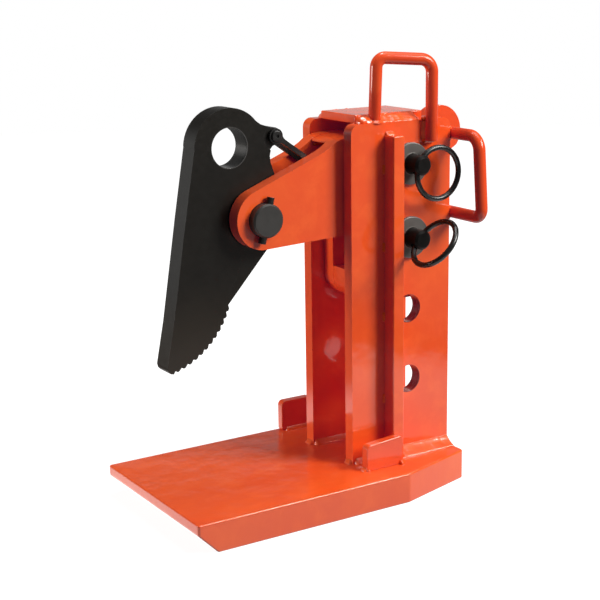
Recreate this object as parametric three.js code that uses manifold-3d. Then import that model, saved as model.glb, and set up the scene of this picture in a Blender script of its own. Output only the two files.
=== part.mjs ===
// Adjustable plate lifting clamp (multi-sheet clamp), built up from flame-cut plate.
//
// Frame: millimetres, +Z up. The origin lies on the underside of the base plate (z = 0), on the
// vertical plane of symmetry of the post (y = 0) and level with the front edges of the two upright
// side plates (x = 0). +X is forward, out of the open jaw; +Y is the left side, where the two
// locking pins are pulled out.
import * as THREE from 'three';
import Module from 'manifold-3d';

const wasm = await Module();
wasm.setup();

// ---------------------------------------------------------------- shared dimensions
// Points written [x, z] lie in the plane of the upright plates.
const BASE_HALF_WIDTH = 95;
const BASE_THICK = 30;
const GAP = 60;                      // clear width of the channel between the side plates
const SIDE_THICK = 12.5;
const SIDE_DEPTH = 118;              // side plate size along x
const SIDE_IN = GAP / 2;             // y of the inner and outer faces of the left side plate
const SIDE_OUT = SIDE_IN + SIDE_THICK;
const POST_REAR = -SIDE_DEPTH;
const POST_TOP = 367;
const TIE_THICK = 10;                // rear tie plate
const TIE_TOP = 338;
const HOLE_X = -68;                  // vertical row of locking pin holes
const HOLE_TOP_Z = 325.6;
const HOLE_PITCH = 72.6;
const HOLE_RADIUS = 14;
const HOLE_COUNT = 4;
const ARM_THICK = 15;                // each of the two arm plates
const ARM_OUT = 28;                  // outer face of an arm plate from the middle plane
const ARM_IN = ARM_OUT - ARM_THICK;
const PIVOT = [88.2, 284.5];         // cam pivot
const PIVOT_RADIUS = 16;
const CAM_HALF_THICK = 11;
const EAR_BOLT = [63.9, 359.0];      // link bolt in the cam ear
const LINK_ANGLE = THREE.MathUtils.degToRad(34.9);
const GUIDE_DISTANCE = 75;           // ear bolt to the guide pin in the arm
const OVERRUN = 1;                   // how far a cutting tool runs past the faces it cuts

// centre [x, z] of a locking pin hole, counted down from the top
const pinHole = (index) => [HOLE_X, HOLE_TOP_Z - index * HOLE_PITCH];

// ---------------------------------------------------------------- finishes
const PAINT = { color: 0xe8501a, roughness: 0.28, metalness: 0.0 };  // glossy orange
const BLACK = { color: 0x24211e, roughness: 0.45, metalness: 0.5 };  // cam lever
const OXIDE = { color: 0x1b1b1c, roughness: 0.4, metalness: 0.7 };   // dark pins and links
const STEEL = { color: 0x6c6a68, roughness: 0.4, metalness: 0.9 };   // bare washers

const group = new THREE.Group();
group.name = 'plate_lifting_clamp';

function add(name, geometry, finish) {
  const mesh = new THREE.Mesh(geometry, new THREE.MeshStandardMaterial({ ...finish }));
  mesh.name = name;
  group.add(mesh);
}

// left and right pieces at equal distances from the middle plane; build takes (yMin, yMax)
function addPair(name, yNear, yFar, build, finish) {
  add(`${name}_left`, build(yNear, yFar), finish);
  add(`${name}_right`, build(-yFar, -yNear), finish);
}

// ---------------------------------------------------------------- solid operations
// joins vertices that coincide and drops the triangles that collapse
function toManifold(geometry) {
  const position = geometry.attributes.position;
  const index = geometry.index ? geometry.index.array : [...Array(position.count).keys()];
  const known = new Map();
  const vertices = [];
  const welded = [];
  const triangles = [];
  for (let i = 0; i < position.count; i++) {
    const point = [position.getX(i), position.getY(i), position.getZ(i)];
    const key = point.map((value) => Math.round(value * 1e4)).join('_');
    if (!known.has(key)) {
      known.set(key, vertices.length / 3);
      vertices.push(...point);
    }
    welded.push(known.get(key));
  }
  for (let i = 0; i < index.length; i += 3) {
    const corners = [welded[index[i]], welded[index[i + 1]], welded[index[i + 2]]];
    if (new Set(corners).size === 3) triangles.push(...corners);
  }
  return new wasm.Manifold(new wasm.Mesh({
    numProp: 3,
    vertProperties: new Float32Array(vertices),
    triVerts: new Uint32Array(triangles),
  }));
}

function fromManifold(solid) {
  const mesh = solid.getMesh();
  const vertices = new Float32Array(mesh.vertProperties);
  const geometry = new THREE.BufferGeometry();
  geometry.setAttribute('position', new THREE.BufferAttribute(vertices, 3));
  geometry.setIndex(new THREE.BufferAttribute(new Uint32Array(mesh.triVerts), 1));
  geometry.computeVertexNormals();
  return geometry;
}

function cut(body, ...tools) {
  let solid = toManifold(body);
  for (const tool of tools) solid = solid.subtract(toManifold(tool));
  return fromManifold(solid);
}

function intersect(first, second) {
  return fromManifold(toManifold(first).intersect(toManifold(second)));
}

// ---------------------------------------------------------------- outlines
function polar([x, y], radius, angle) {
  return [x + radius * Math.cos(angle), y + radius * Math.sin(angle)];
}

// points along an arc, angles in radians
function sweep(centre, radius, start, end, steps) {
  const points = [];
  for (let k = 0; k <= steps; k++) {
    points.push(polar(centre, radius, start + (end - start) * k / steps));
  }
  return points;
}

// the same with the angles in degrees
function arc(centre, radius, startDeg, endDeg, steps) {
  const { degToRad } = THREE.MathUtils;
  return sweep(centre, radius, degToRad(startDeg), degToRad(endDeg), steps);
}

// half the angle between two unit vectors
function halfAngle(first, second) {
  return Math.acos(THREE.MathUtils.clamp(first.dot(second), -1, 1)) / 2;
}

// outline with its corners rounded: points are [x, y] or [x, y, radius]
function rounded(points) {
  const steps = 6;
  const count = points.length;
  return points.flatMap(([x, y, radius], i) => {
    if (!radius) return [[x, y]];
    const before = points[(i + count - 1) % count];
    const after = points[(i + 1) % count];
    const back = new THREE.Vector2(before[0] - x, before[1] - y).normalize();
    const ahead = new THREE.Vector2(after[0] - x, after[1] - y).normalize();
    const half = halfAngle(back, ahead);
    const setback = radius / Math.tan(half);
    const inward = back.clone().add(ahead).normalize().multiplyScalar(radius / Math.sin(half));
    // direction from the arc centre to the tangent point on one side
    const angleTo = (side) => (
      Math.atan2(side.y * setback - inward.y, side.x * setback - inward.x)
    );
    const start = angleTo(back);
    let end = angleTo(ahead);
    while (end - start > Math.PI) end -= Math.PI * 2;
    while (end - start < -Math.PI) end += Math.PI * 2;
    return sweep([x + inward.x, y + inward.y], radius, start, end, steps);
  });
}

// ---------------------------------------------------------------- basic bodies
const toShape = (points) => new THREE.Shape(points.map(([x, y]) => new THREE.Vector2(x, y)));

// plate cut in the xz plane; holes are [x, z, radius]
function plateXZ(points, yMin, yMax, holes = []) {
  const shape = toShape(points);
  for (const [x, z, radius] of holes) {
    const hole = new THREE.Path();
    hole.absarc(x, z, radius, 0, Math.PI * 2, true);
    shape.holes.push(hole);
  }
  const geometry = new THREE.ExtrudeGeometry(shape, {
    depth: yMax - yMin, bevelEnabled: false, curveSegments: 24,
  });
  geometry.rotateX(Math.PI / 2);
  geometry.translate(0, yMax, 0);
  return geometry;
}

// plate cut in the xy plane
function plateXY(points, zMin, zMax) {
  const geometry = new THREE.ExtrudeGeometry(toShape(points), {
    depth: zMax - zMin, bevelEnabled: false,
  });
  geometry.translate(0, 0, zMin);
  return geometry;
}

// box from its [min, max] range along each axis
function boxAt(...ranges) {
  const geometry = new THREE.BoxGeometry(...ranges.map(([min, max]) => max - min));
  geometry.translate(...ranges.map(([min, max]) => (min + max) / 2));
  return geometry;
}

// turned part with its axis along y, from a list of [radius, y]
function turnedY(profile, [x, z], segments = 40) {
  const points = profile.map(([radius, y]) => new THREE.Vector2(radius, y));
  const geometry = new THREE.LatheGeometry(points, segments);
  geometry.translate(x, 0, z);
  return geometry;
}

function discY(radius, yMin, yMax, centre, segments) {
  return turnedY([[0, yMin], [radius, yMin], [radius, yMax], [0, yMax]], centre, segments);
}

function cylinderAlong(direction, radius, length, centre, segments) {
  const geometry = new THREE.CylinderGeometry(radius, radius, length, segments);
  const axis = new THREE.Vector3(...direction).normalize();
  const turn = new THREE.Quaternion().setFromUnitVectors(new THREE.Vector3(0, 1, 0), axis);
  geometry.applyQuaternion(turn);
  geometry.translate(...centre);
  return geometry;
}

// round bar along straight runs between the corners, with one bend radius per inner corner
function bentBar(corners, bendRadii, barRadius) {
  const sides = 20;
  const bendSteps = 8;
  const vertices = corners.map((corner) => new THREE.Vector3(...corner));
  const path = [vertices[0]];
  bendRadii.forEach((radius, i) => {
    const corner = vertices[i + 1];
    const back = vertices[i].clone().sub(corner).normalize();
    const ahead = vertices[i + 2].clone().sub(corner).normalize();
    const half = halfAngle(back, ahead);
    const setback = radius / Math.tan(half);
    const inward = back.clone().add(ahead).normalize();
    const centre = corner.clone().addScaledVector(inward, radius / Math.sin(half));
    const start = corner.clone().addScaledVector(back, setback).sub(centre);
    const end = corner.clone().addScaledVector(ahead, setback).sub(centre);
    const total = start.angleTo(end);
    const axis = start.clone().cross(end).normalize();
    for (let k = 0; k <= bendSteps; k++) {
      const spoke = start.clone().applyAxisAngle(axis, total * k / bendSteps);
      path.push(centre.clone().add(spoke));
    }
  });
  path.push(vertices[vertices.length - 1]);

  // one straight segment per bend step, sampled exactly at the joints
  const last = path.length - 1;
  const curve = new THREE.Curve();
  curve.getPointAt = (t, target = new THREE.Vector3()) => {
    const along = t * last;
    const i = Math.min(Math.floor(along), last - 1);
    return target.lerpVectors(path[i], path[i + 1], along - i);
  };
  // tangents bisect the joints; at either end one of the two directions is zero
  curve.getTangentAt = (t, target = new THREE.Vector3()) => {
    const i = Math.round(t * last);
    const arriving = path[i].clone().sub(path[Math.max(i - 1, 0)]).normalize();
    const leaving = path[Math.min(i + 1, last)].clone().sub(path[i]).normalize();
    return target.copy(arriving.add(leaving).normalize());
  };
  const section = toShape(arc([0, 0], barRadius, 0, 360 - 360 / sides, sides - 1));
  return new THREE.ExtrudeGeometry(section, {
    steps: last, bevelEnabled: false, extrudePath: curve,
  });
}

// ---------------------------------------------------------------- base plate
const BASE_FRONT = 202;
const BASE_REAR = POST_REAR;
const LAND_HEIGHT = 10;              // upright land left at the front edge
const UNDER_BEVEL = 20;              // length of the bevel under the front edge
const REAR_CHAMFER = { x: 86, y: 25 };  // plan chamfer at each rear corner

function basePlate() {
  const section = plateXZ([
    [BASE_REAR, 0], [BASE_FRONT - UNDER_BEVEL, 0], [BASE_FRONT, BASE_THICK - LAND_HEIGHT],
    [BASE_FRONT, BASE_THICK], [BASE_REAR, BASE_THICK],
  ], -BASE_HALF_WIDTH - OVERRUN, BASE_HALF_WIDTH + OVERRUN);
  const chamferX = BASE_REAR + REAR_CHAMFER.x;
  const chamferY = BASE_HALF_WIDTH - REAR_CHAMFER.y;
  const plan = rounded([
    [BASE_FRONT, -BASE_HALF_WIDTH, 2.5], [BASE_FRONT, BASE_HALF_WIDTH, 2.5],
    [chamferX, BASE_HALF_WIDTH, 12], [BASE_REAR, chamferY, 5],
    [BASE_REAR, -chamferY, 5], [chamferX, -BASE_HALF_WIDTH, 12],
  ]);
  return intersect(section, plateXY(plan, -OVERRUN, BASE_THICK + OVERRUN));
}

add('base_plate', basePlate(), PAINT);

// ---------------------------------------------------------------- post
const POST_CORNER = 9;               // rounding of the top corners
const TOP_PLATE = { x: [-92, -13.3], z: [366.5, 374.5] };
const TIE_BOTTOM = 214;

const SIDE_OUTLINE = rounded([
  [0, BASE_THICK], [0, POST_TOP, POST_CORNER],
  [POST_REAR, POST_TOP, POST_CORNER], [POST_REAR, BASE_THICK],
]);
const SIDE_HOLES = Array.from({ length: HOLE_COUNT }, (_, k) => [...pinHole(k), HOLE_RADIUS]);
const sidePlate = (yMin, yMax) => plateXZ(SIDE_OUTLINE, yMin, yMax, SIDE_HOLES);

addPair('side_plate', SIDE_IN, SIDE_OUT, sidePlate, PAINT);
add('top_plate', boxAt(TOP_PLATE.x, [-SIDE_IN, SIDE_IN], TOP_PLATE.z), PAINT);
add('rear_tie_plate', boxAt(
  [POST_REAR, POST_REAR + TIE_THICK], [-SIDE_IN, SIDE_IN], [TIE_BOTTOM, TIE_TOP],
), PAINT);

// ---------------------------------------------------------------- guard bars and stop plates
// guard bars stand on the outer faces, ahead of the pin heads
const GUARD_FRONT = -38;
const GUARD_REAR = -51;
const GUARD_TOP = 355;
const GUARD_OUT = SIDE_OUT + 16;     // outer face of the left guard bar
const STOP_THICK = 9;
const RIGHT_STOP_OUT = -BASE_HALF_WIDTH + 1;  // outer face, just inside the base edge

const GUARD_OUTLINE = rounded([
  [GUARD_FRONT, BASE_THICK], [GUARD_FRONT, GUARD_TOP, 2],
  [GUARD_REAR, GUARD_TOP, 2], [GUARD_REAR, BASE_THICK],
]);
const guardBar = (yMin, yMax) => plateXZ(GUARD_OUTLINE, yMin, yMax);
addPair('guard_bar', SIDE_OUT, GUARD_OUT, guardBar, PAINT);

// the left stop stands against the guard bar, the right one near the edge of the base
const LEFT_STOP_OUTLINE = rounded([
  [0, BASE_THICK], [0, BASE_THICK + 26, 5],
  [-43.5, BASE_THICK + 29.5, 4], [-43.5, BASE_THICK],
]);
const RIGHT_STOP_OUTLINE = rounded([
  [4.2, BASE_THICK, 2.5], [4.2, BASE_THICK + 32.5, 5],
  [-33, BASE_THICK + 32.5, 4], [-33, BASE_THICK],
]);
add('stop_plate_left', plateXZ(LEFT_STOP_OUTLINE, GUARD_OUT, GUARD_OUT + STOP_THICK), PAINT);
add('stop_plate_right', plateXZ(
  RIGHT_STOP_OUTLINE, RIGHT_STOP_OUT, RIGHT_STOP_OUT + STOP_THICK,
), PAINT);

// ---------------------------------------------------------------- handles
const BAR_RADIUS = 6;                // round bar of both handles
const FRONT_LEG = { x: -31.1, y: SIDE_IN + BAR_RADIUS + 0.4, topZ: 428.2 };
const REAR_LEG = { x: -90.3, y: SIDE_OUT + BAR_RADIUS, topZ: 424.2, bottomZ: 346 };
const REAR_HANDLE = { rootY: 10, topY: 79.4, bottomY: 86, topZ: 350.6, bottomZ: 271.6 };

// the front leg leans back a little and is cut off level with the top of the side plate
function topHandle() {
  const { x, y, topZ } = FRONT_LEG;
  const bar = bentBar([
    [x + 0.13, y, POST_TOP - 3], [x - 2.6, y, topZ],
    [REAR_LEG.x, REAR_LEG.y, REAR_LEG.topZ], [REAR_LEG.x, REAR_LEG.y, REAR_LEG.bottomZ],
  ], [9, 12.5], BAR_RADIUS);
  const trim = boxAt([x - 12, x + 12], [SIDE_IN - 4, SIDE_OUT + 4], [POST_TOP - 8, POST_TOP]);
  return cut(bar, trim);
}

// grip on the left, carried by two runs across the back of the post
function rearHandle() {
  const { rootY, topY, bottomY, topZ, bottomZ } = REAR_HANDLE;
  const x = POST_REAR - BAR_RADIUS;
  return bentBar([
    [x, rootY, topZ], [x, topY, topZ], [x, bottomY, bottomZ], [x, rootY, bottomZ],
  ], [15, 9], BAR_RADIUS);
}

add('top_handle', topHandle(), PAINT);
add('rear_handle', rearHandle(), PAINT);

// ---------------------------------------------------------------- rear lug
const LUG_CENTRE = [-133.6, 348.5];
const LUG_RADIUS = 26.3;
const LUG_THICK = 12;
const LUG_HOLE_RADIUS = 9;

// round plate with a foot on the top and rear face of the tie plate
const LUG_OUTLINE = [
  ...arc(LUG_CENTRE, LUG_RADIUS, -10, 215, 36),
  [POST_REAR, 312], [POST_REAR, TIE_TOP], [POST_REAR + TIE_THICK, TIE_TOP],
];
add('rear_lug', plateXZ(
  LUG_OUTLINE, -LUG_THICK / 2, LUG_THICK / 2, [[...LUG_CENTRE, LUG_HOLE_RADIUS]],
), PAINT);

// ---------------------------------------------------------------- jaw arm
const NOSE_RADIUS = 28.5;            // rounded nose round the pivot
const ARM_FRONT = -15;               // front edge of the part inside the channel
const ARM_REAR = -104;
const ARM_TOP = 355;
const ARM_BOTTOM = 188;
const ARM_REAR_CORNER = 8;
const ARM_FRONT_CORNER = 24;         // lower front corner
const BLOCK_REAR = -92;              // rear end of both blocks between the arm plates
const UPPER_BLOCK_DROP = 0.2;        // top of the upper block below the arm plate edges
const UPPER_BLOCK_BOTTOM = 345.5;
const LOWER_BLOCK_TOP = 221;
const GUIDE_PIN_RADIUS = 4;

// top edge from the nose back to the channel, [x, z]
const ARM_RAMP = [[26, 339.7], [20.5, 342.0], [14.3, 345.6]];
const ARM_SHOULDER = [[8.5, 349.8], [3, 351.9], [-2, 353.2], [-12, 354.4], [-25, ARM_TOP]];

const lowerFrontCorner = arc(
  [ARM_FRONT - ARM_FRONT_CORNER, ARM_BOTTOM + ARM_FRONT_CORNER], ARM_FRONT_CORNER, 270, 360, 8,
);

function armPlate(yMin, yMax) {
  const cornerX = ARM_REAR + ARM_REAR_CORNER;
  const outline = [
    ...arc(PIVOT, NOSE_RADIUS, -92, 69.6, 26),
    ...ARM_RAMP, ...ARM_SHOULDER,
    ...arc([cornerX, ARM_TOP - ARM_REAR_CORNER], ARM_REAR_CORNER, 90, 180, 4),
    ...arc([cornerX, ARM_BOTTOM + ARM_REAR_CORNER], ARM_REAR_CORNER, 180, 270, 4),
    ...lowerFrontCorner,
    // inside corner below the nose
    [ARM_FRONT, 255.4], [ARM_FRONT + 1.2, 258.7], [ARM_FRONT + 4.5, 260.1],
  ];
  return plateXZ(outline, yMin, yMax, [
    [...PIVOT, PIVOT_RADIUS + 0.3], [...pinHole(0), HOLE_RADIUS], [...pinHole(1), HOLE_RADIUS],
  ]);
}

const UPPER_BLOCK_OUTLINE = [
  [8.5, 347.6],
  ...ARM_SHOULDER.map(([x, z]) => [x, z - UPPER_BLOCK_DROP]),
  [BLOCK_REAR, ARM_TOP - UPPER_BLOCK_DROP],
  [BLOCK_REAR, UPPER_BLOCK_BOTTOM], [0, UPPER_BLOCK_BOTTOM],
];
const LOWER_BLOCK_OUTLINE = [
  ...lowerFrontCorner,
  [ARM_FRONT, LOWER_BLOCK_TOP], [BLOCK_REAR, LOWER_BLOCK_TOP], [BLOCK_REAR, ARM_BOTTOM],
];

// [x, z] of a point given as [distance from the ear bolt along the link, offset across it]
function linkPoint([along, across]) {
  const cos = Math.cos(LINK_ANGLE);
  const sin = Math.sin(LINK_ANGLE);
  return [
    EAR_BOLT[0] - along * cos + across * sin,
    EAR_BOLT[1] - along * sin - across * cos,
  ];
}

addPair('arm_plate', ARM_IN, ARM_OUT, armPlate, PAINT);
add('arm_upper_block', plateXZ(UPPER_BLOCK_OUTLINE, -ARM_IN, ARM_IN), PAINT);
add('arm_lower_block', plateXZ(LOWER_BLOCK_OUTLINE, -ARM_IN, ARM_IN), PAINT);
// cross bar for the slotted link, between the inner faces of the arm plates
add('link_guide_pin', discY(
  GUIDE_PIN_RADIUS, -ARM_IN, ARM_IN, linkPoint([GUIDE_DISTANCE, 0]), 24,
), OXIDE);

// ---------------------------------------------------------------- cam pivot
const PIVOT_END = 37.5;              // half length
const PIVOT_CHAMFER = 1.6;
const ROLL_RADIUS = 3.6;             // roll pins across the ends of the pivot pin
const ROLL_LENGTH = 44;
const ROLL_Y = 32.3;
const ROLL_TILT = -0.24;             // x part of the unit vector along a roll pin
const ROLL_CLEARANCE = 0.25;
const WASHER_RADIUS = 23;
const WASHER_BORE = PIVOT_RADIUS + 0.6;
const WASHER_CLEARANCE = 0.2;        // to the cam on one side and the arm plate on the other

function rollCylinder(y, radius, length) {
  const direction = [ROLL_TILT, 0, Math.sqrt(1 - ROLL_TILT * ROLL_TILT)];
  return cylinderAlong(direction, radius, length, [PIVOT[0], y, PIVOT[1]], 24);
}

function pivotPin() {
  const chamferRadius = PIVOT_RADIUS - PIVOT_CHAMFER;
  const chamferY = PIVOT_END - PIVOT_CHAMFER;
  const pin = turnedY([
    [0, -PIVOT_END], [chamferRadius, -PIVOT_END], [PIVOT_RADIUS, -chamferY],
    [PIVOT_RADIUS, chamferY], [chamferRadius, PIVOT_END], [0, PIVOT_END],
  ], PIVOT);
  const hole = (y) => rollCylinder(y, ROLL_RADIUS + ROLL_CLEARANCE, 60);
  return cut(pin, hole(ROLL_Y), hole(-ROLL_Y));
}

function pivotWasher(yMin, yMax) {
  return turnedY([
    [WASHER_BORE, yMin], [WASHER_RADIUS, yMin], [WASHER_RADIUS, yMax],
    [WASHER_BORE, yMax], [WASHER_BORE, yMin],
  ], PIVOT);
}

add('pivot_pin', pivotPin(), OXIDE);
add('roll_pin_left', rollCylinder(ROLL_Y, ROLL_RADIUS, ROLL_LENGTH), OXIDE);
add('roll_pin_right', rollCylinder(-ROLL_Y, ROLL_RADIUS, ROLL_LENGTH), OXIDE);
addPair(
  'pivot_washer', CAM_HALF_THICK + WASHER_CLEARANCE, ARM_IN - WASHER_CLEARANCE,
  pivotWasher, STEEL,
);

// ---------------------------------------------------------------- cam lever
const EYE = [113.3, 351.7];          // lifting eye
const EYE_RADIUS = 18.7;
const HEAD_RADIUS = 36.6;
const CAM_BACK_RADIUS = 31.3;        // back of the cam round the pivot
const EAR_RADIUS = 8.2;
const EAR_HALF_THICK = 9;            // the ear is milled thinner than the cam
const EAR_MILL_RADIUS = 13.5;
const EAR_BOLT_HOLE = 4.3;           // radius
const TOOTH_COUNT = 12;
const TOOTH_DEPTH = 1.9;

// points on the gripping curve of the toe
const TOE_HEEL = new THREE.Vector2(117.2, 203.6);
const TOE_MIDDLE = new THREE.Vector2(142.0, 165.8);
const TOE_TIP = new THREE.Vector2(176.5, 147.2);

// one tooth: [fraction of the pitch, depth below the gripping curve]
const TOOTH = [[0.0, TOOTH_DEPTH], [0.42, 0.0], [0.72, 0.0], [0.96, TOOTH_DEPTH]];

// measured runs of the outline, [x, z]
const TOE_NOSE = [[178.6, 146.2], [181.8, 147.0], [184.2, 149.6], [184.9, 153.2]];
const CAM_FRONT_EDGE = [
  [176.9, 192.5], [171.3, 225.9], [166.0, 258.0], [160.9, 289.0],
  [156.9, 311.5], [152.6, 336.0], [149.6, 353.5],
];
const EAR_TOP = [[80.0, 371.2], [75.5, 369.6], [69.5, 367.4]];
const EAR_UNDERSIDE = [
  [62.2, 350.9], [66.0, 349.6], [69.2, 346.0], [70.4, 341.0],
  [69.6, 334.5], [66.5, 326.0], [61.5, 312.0],
];

function circleThrough(first, second, third) {
  const scale = 2 * (first.x * (second.y - third.y) + second.x * (third.y - first.y)
    + third.x * (first.y - second.y));
  const squares = [first.lengthSq(), second.lengthSq(), third.lengthSq()];
  const x = (squares[0] * (second.y - third.y) + squares[1] * (third.y - first.y)
    + squares[2] * (first.y - second.y)) / scale;
  const y = (squares[0] * (third.x - second.x) + squares[1] * (first.x - third.x)
    + squares[2] * (second.x - first.x)) / scale;
  return { centre: [x, y], radius: Math.hypot(first.x - x, first.y - y) };
}

// toothed edge from the heel to the tip
function toeTeeth() {
  const { centre, radius } = circleThrough(TOE_HEEL, TOE_MIDDLE, TOE_TIP);
  const angleOf = (point) => Math.atan2(point.y - centre[1], point.x - centre[0]);
  const start = angleOf(TOE_HEEL);
  let end = angleOf(TOE_TIP);
  while (end < start) end += Math.PI * 2;
  const pitch = (end - start) / TOOTH_COUNT;
  const points = [];
  for (let k = 0; k < TOOTH_COUNT; k++) {
    for (const [fraction, depth] of TOOTH) {
      points.push(polar(centre, radius - depth, start + pitch * (k + fraction)));
    }
  }
  return points;
}

function camLever() {
  const [boltX, boltZ] = EAR_BOLT;
  const outline = [
    ...toeTeeth(), ...TOE_NOSE, ...CAM_FRONT_EDGE,
    ...arc(EYE, HEAD_RADIUS, 5, 141, 22),
    ...EAR_TOP,
    ...arc([boltX + 0.6, boltZ - 0.2], EAR_RADIUS, 75, 230, 10),
    ...EAR_UNDERSIDE,
    ...arc(PIVOT, CAM_BACK_RADIUS, 146, 221, 12),
  ];
  const body = plateXZ(outline, -CAM_HALF_THICK, CAM_HALF_THICK, [
    [...EYE, EYE_RADIUS], [...PIVOT, PIVOT_RADIUS + 0.4], [...EAR_BOLT, EAR_BOLT_HOLE],
  ]);
  const mill = (yMin, yMax) => discY(EAR_MILL_RADIUS, yMin, yMax, [boltX - 1, boltZ - 1]);
  const millEnd = CAM_HALF_THICK + OVERRUN;
  return cut(body, mill(EAR_HALF_THICK, millEnd), mill(-millEnd, -EAR_HALF_THICK));
}

add('cam_lever', camLever(), BLACK);

// ---------------------------------------------------------------- slotted link
// distances run from the ear bolt along the link
const STRAP_EYE_RADIUS = 7.2;
const STRAP_NECK = 2.3;              // half width of the narrow part
const STRAP_WIDE = 8.6;              // half width of the slotted part
const STRAP_END = 142;
const STRAP_IN = 9.3;                // inner and outer faces from the middle plane
const STRAP_OUT = 12.6;
const STRAP_BOLT_HOLE = 4.2;         // radius
const SLOT_START = 58.5;
const SLOT_END = 133;
const SLOT_HALF = 5.4;               // half width
const TAIL_DISTANCE = 137.5;
const TAIL_RADIUS = 2.4;
const TAIL_CHAMFER = 0.4;

// one side of the widening from neck to slotted part, [distance, offset across]
const STRAP_SHOULDER = [
  [49, STRAP_NECK], [51, STRAP_NECK + 0.7], [55.4, STRAP_WIDE - 0.9], [57.4, STRAP_WIDE],
];
// headed bolt, [radius, y]
const LINK_BOLT_PROFILE = [
  [0, -14.2], [3.4, -14.2], [3.9, -13.6], [3.9, 12.8], [5.4, 12.8],
  [5.4, 14.0], [4.7, 14.6], [1.7, 14.6], [1.7, 13.2], [0, 13.2],
];

function linkStrap(yMin, yMax) {
  const outline = [
    [10.5, STRAP_NECK], [8.4, STRAP_NECK + 0.35],
    ...arc([0, 0], STRAP_EYE_RADIUS, 30, 330, 18),
    [8.4, -STRAP_NECK - 0.35], [10.5, -STRAP_NECK],
    ...STRAP_SHOULDER.map(([along, across]) => [along, -across]),
    ...arc([STRAP_END - STRAP_WIDE, 0], STRAP_WIDE, -90, 90, 14),
    ...[...STRAP_SHOULDER].reverse(),
  ];
  const slot = [
    ...arc([SLOT_END - SLOT_HALF, 0], SLOT_HALF, -90, 90, 10),
    ...arc([SLOT_START + SLOT_HALF, 0], SLOT_HALF, 90, 270, 10),
  ];
  const plate = plateXZ(outline.map(linkPoint), yMin, yMax, [
    [...EAR_BOLT, STRAP_BOLT_HOLE], [...linkPoint([TAIL_DISTANCE, 0]), TAIL_RADIUS + 0.1],
  ]);
  return cut(plate, plateXZ(slot.map(linkPoint), yMin - OVERRUN, yMax + OVERRUN));
}

// rivet that holds the two straps together behind the slots, flush with their outer faces
function linkTailPin() {
  const chamferRadius = TAIL_RADIUS - TAIL_CHAMFER;
  const chamferY = STRAP_OUT - TAIL_CHAMFER;
  return turnedY([
    [0, -STRAP_OUT], [chamferRadius, -STRAP_OUT], [TAIL_RADIUS, -chamferY],
    [TAIL_RADIUS, chamferY], [chamferRadius, STRAP_OUT], [0, STRAP_OUT],
  ], linkPoint([TAIL_DISTANCE, 0]), 24);
}

addPair('link_strap', STRAP_IN, STRAP_OUT, linkStrap, OXIDE);
add('link_bolt', turnedY(LINK_BOLT_PROFILE, EAR_BOLT, 32), OXIDE);
add('link_tail_pin', linkTailPin(), OXIDE);

// ---------------------------------------------------------------- locking pins and pull rings
const LOCK_RADIUS = 13;
const LOCK_TIP = -52;
const FLANGE_RADIUS = 20.5;
const FLANGE_IN = SIDE_OUT + 0.2;    // just clear of the side plate
const FLANGE_OUT = SIDE_OUT + 5;
const FLANGE_EDGE = 0.8;             // chamfer
const FLANGE_FLAT = 16.4;            // pin axis to the flat
const NECK_RADIUS = 9.6;
const NECK_END = 67;
const NECK_CHAMFER = 2.4;
const RING_Y = 59.5;                 // cross hole from the middle plane
const RING_RADIUS = 25;
const WIRE_RADIUS = 2.5;
const CROSS_HOLE_RADIUS = 4.4;
const RING_OFFSET = RING_RADIUS - 0.8;  // pin axis to the ring centre

// hole: direction of the cross hole; hang: direction from the pin to the ring centre
const LOCKS = [
  { tag: 'upper', centre: pinHole(0), hole: [-0.404, 0, 0.915], hang: [-0.915, 0, -0.404] },
  { tag: 'lower', centre: pinHole(1), hole: [-0.652, 0, 0.758], hang: [0, 1, 0] },
];

function lockingPin([x, z], hole) {
  const body = turnedY([
    [0, LOCK_TIP], [LOCK_RADIUS - 4, LOCK_TIP], [LOCK_RADIUS, LOCK_TIP + 6],
    [LOCK_RADIUS, FLANGE_IN], [FLANGE_RADIUS - FLANGE_EDGE, FLANGE_IN],
    [FLANGE_RADIUS, FLANGE_IN + FLANGE_EDGE], [FLANGE_RADIUS, FLANGE_OUT - FLANGE_EDGE],
    [FLANGE_RADIUS - 1.2, FLANGE_OUT], [NECK_RADIUS + 1.2, FLANGE_OUT],
    [NECK_RADIUS, FLANGE_OUT + 1.4], [NECK_RADIUS, NECK_END - NECK_CHAMFER],
    [NECK_RADIUS - NECK_CHAMFER, NECK_END], [0, NECK_END],
  ], [x, z]);
  // flat on the flange bears on the guard bar and keeps the pin from turning
  const flat = boxAt(
    [x + FLANGE_FLAT, x + 40], [SIDE_OUT - OVERRUN, FLANGE_OUT + OVERRUN], [z - 40, z + 40],
  );
  return cut(body, flat, cylinderAlong(hole, CROSS_HOLE_RADIUS, 60, [x, RING_Y, z], 28));
}

function pullRing([x, z], hole, hang) {
  const outward = new THREE.Vector3(...hang).normalize();
  const through = new THREE.Vector3(...hole).normalize();
  const normal = new THREE.Vector3().crossVectors(outward, through).normalize();
  const ring = new THREE.TorusGeometry(RING_RADIUS, WIRE_RADIUS, 12, 48);
  ring.applyMatrix4(new THREE.Matrix4().makeBasis(outward, through, normal));
  const centre = new THREE.Vector3(x, RING_Y, z).addScaledVector(outward, RING_OFFSET);
  ring.translate(...centre);
  return ring;
}

for (const { tag, centre, hole, hang } of LOCKS) {
  add(`locking_pin_${tag}`, lockingPin(centre, hole), OXIDE);
  add(`pull_ring_${tag}`, pullRing(centre, hole, hang), OXIDE);
}

export default group;
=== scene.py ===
"""Looks for a plate lifting clamp: orange enamel frame, black cam lever, blacked pins, weld beads
and a white studio.

The clamp stands on z = 0. +X is its front, +Y its left and +Z is up. CAD pieces and materials are
in metres; the bars, rings and welds are laid out in millimetres and scaled by MM.
"""

import math

import bmesh
import bpy
from mathutils import Matrix, Quaternion, Vector, noise

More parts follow.
